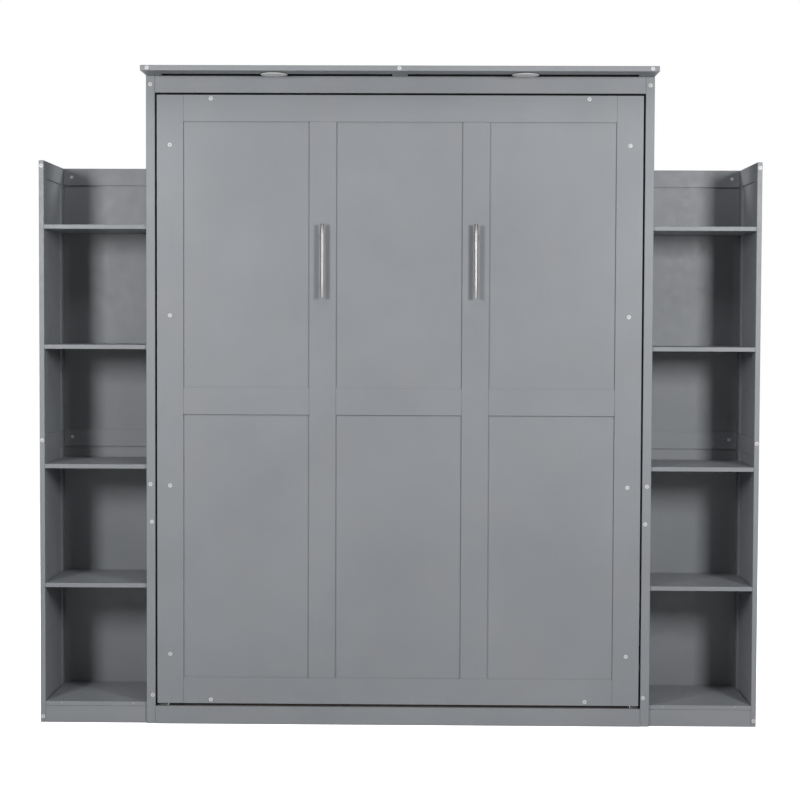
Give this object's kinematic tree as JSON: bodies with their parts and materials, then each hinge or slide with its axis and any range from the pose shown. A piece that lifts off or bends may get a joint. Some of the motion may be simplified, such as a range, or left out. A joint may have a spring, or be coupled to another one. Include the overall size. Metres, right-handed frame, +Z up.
{
  "type": "murphy wall bed",
  "caption": "Grey fold-down wall bed shut in its cabinet, with a panelled door, two bar handles, a crown with puck lights and an open shelf tower on each side.",
  "frame": {"origin": "on the floor, under the middle of the outer box, crown overhang included", "axes": "+X to the right seen from the front, +Y towards the wall, +Z up"},
  "size_m": [2.462, 0.515, 2.235],
  "materials": {
    "grey_paint": "satin grey paint",
    "slat_wood": "bare sanded wood",
    "dark_steel": "powder coated",
    "brushed_steel": "brushed",
    "strut_black": "satin black",
    "strut_chrome": "polished",
    "light_plastic": "satin",
    "light_lens": "frosted"
  },
  "bodies": {
    "root": {"cabinet_side_left": "grey_paint", "cabinet_side_right": "grey_paint", "crown_board": "grey_paint", "top_rail": "grey_paint", "base_rail": "grey_paint", "back_rail_bottom": "grey_paint", "back_rail_middle": "grey_paint", "back_rail_top": "grey_paint", "pivot_bearing_left": "dark_steel", "pivot_bearing_right": "dark_steel", "strut_foot_bracket_left": "dark_steel", "strut_foot_bracket_right": "dark_steel", "light_housing_left": "light_plastic", "light_housing_right": "light_plastic", "tower_left_side": "grey_paint", "tower_left_back": "grey_paint", "tower_left_bottom": "grey_paint", "tower_left_shelf_1": "grey_paint", "tower_left_shelf_2": "grey_paint", "tower_left_shelf_3": "grey_paint", "tower_left_shelf_4": "grey_paint", "tower_left_toe_kick": "grey_paint", "tower_right_side": "grey_paint", "tower_right_back": "grey_paint", "tower_right_bottom": "grey_paint", "tower_right_shelf_1": "grey_paint", "tower_right_shelf_2": "grey_paint", "tower_right_shelf_3": "grey_paint", "tower_right_shelf_4": "grey_paint", "tower_right_toe_kick": "grey_paint"},
    "bed": {"door_panel": "grey_paint", "door_stile_left": "grey_paint", "door_stile_right": "grey_paint", "door_rail_top": "grey_paint", "door_rail_bottom": "grey_paint", "door_inner_stile_left": "grey_paint", "door_inner_stile_right": "grey_paint", "door_middle_rail_left": "grey_paint", "door_middle_rail_centre": "grey_paint", "door_middle_rail_right": "grey_paint", "handle_left": "brushed_steel", "handle_right": "brushed_steel", "bed_side_rail_left": "grey_paint", "bed_side_rail_right": "grey_paint", "bed_head_rail": "grey_paint", "bed_foot_rail": "grey_paint", "centre_beam": "grey_paint", "slat_deck": "slat_wood", "pivot_pin_left": "dark_steel", "pivot_pin_right": "dark_steel", "strut_head_bracket_left": "dark_steel", "strut_head_bracket_right": "dark_steel"},
    "strut_cylinder_left": {"strut_cylinder_left": "strut_black"},
    "strut_rod_left": {"strut_rod_left": "strut_chrome"},
    "foot_leg_left": {"foot_leg_left": "dark_steel"},
    "light_button_left": {"light_lens_left": "light_lens"},
    "strut_cylinder_right": {"strut_cylinder_right": "strut_black"},
    "strut_rod_right": {"strut_rod_right": "strut_chrome"},
    "foot_leg_right": {"foot_leg_right": "dark_steel"},
    "light_button_right": {"light_lens_right": "light_lens"}
  },
  "joints": [
    {"name": "bed_fold", "type": "hinge", "parent": "root", "child": "bed", "pos_m": [0, -0.0075, 0.3], "axis": [1, 0, 0], "range_deg": [0, 90], "stiffness_Nm_per_rad": 210, "springref_deg": -42.97},
    {"name": "strut_tilt_left", "type": "hinge", "parent": "root", "child": "strut_cylinder_left", "pos_m": [-0.808, -0.0575, 0.24], "axis": [1, 0, 0], "range_deg": [0, 87.52]},
    {"name": "strut_stroke_left", "type": "slide", "parent": "strut_cylinder_left", "child": "strut_rod_left", "axis": [0, 0.0889, 0.996], "range_m": [-0.10835, 0]},
    {"name": "leg_swing_left", "type": "hinge", "parent": "bed", "child": "foot_leg_left", "pos_m": [-0.8, -0.0645, 2.13], "axis": [1, 0, 0], "range_deg": [0, 200]},
    {"name": "light_press_left", "type": "slide", "parent": "root", "child": "light_button_left", "axis": [0, 0, 1], "range_m": [0, 0.0015], "stiffness_N_per_m": 600, "springref_m": -0.002},
    {"name": "strut_tilt_right", "type": "hinge", "parent": "root", "child": "strut_cylinder_right", "pos_m": [0.808, -0.0575, 0.24], "axis": [1, 0, 0], "range_deg": [0, 87.52]},
    {"name": "strut_stroke_right", "type": "slide", "parent": "strut_cylinder_right", "child": "strut_rod_right", "axis": [0, 0.0889, 0.996], "range_m": [-0.10835, 0]},
    {"name": "leg_swing_right", "type": "hinge", "parent": "bed", "child": "foot_leg_right", "pos_m": [0.8, -0.0645, 2.13], "axis": [1, 0, 0], "range_deg": [0, 200]},
    {"name": "light_press_right", "type": "slide", "parent": "root", "child": "light_button_right", "axis": [0, 0, 1], "range_m": [0, 0.0015], "stiffness_N_per_m": 600, "springref_m": -0.002}
  ],
  "couplings": [
    {"joint": "strut_tilt_left", "follows": "bed_fold", "ratio": 0.9723},
    {"joint": "strut_stroke_left", "follows": "bed_fold", "m_per_rad": -0.068911},
    {"joint": "leg_swing_left", "follows": "bed_fold", "ratio": 2.2222},
    {"joint": "strut_tilt_right", "follows": "bed_fold", "ratio": 0.9723},
    {"joint": "strut_stroke_right", "follows": "bed_fold", "m_per_rad": -0.068911},
    {"joint": "leg_swing_right", "follows": "bed_fold", "ratio": 2.2222}
  ]
}
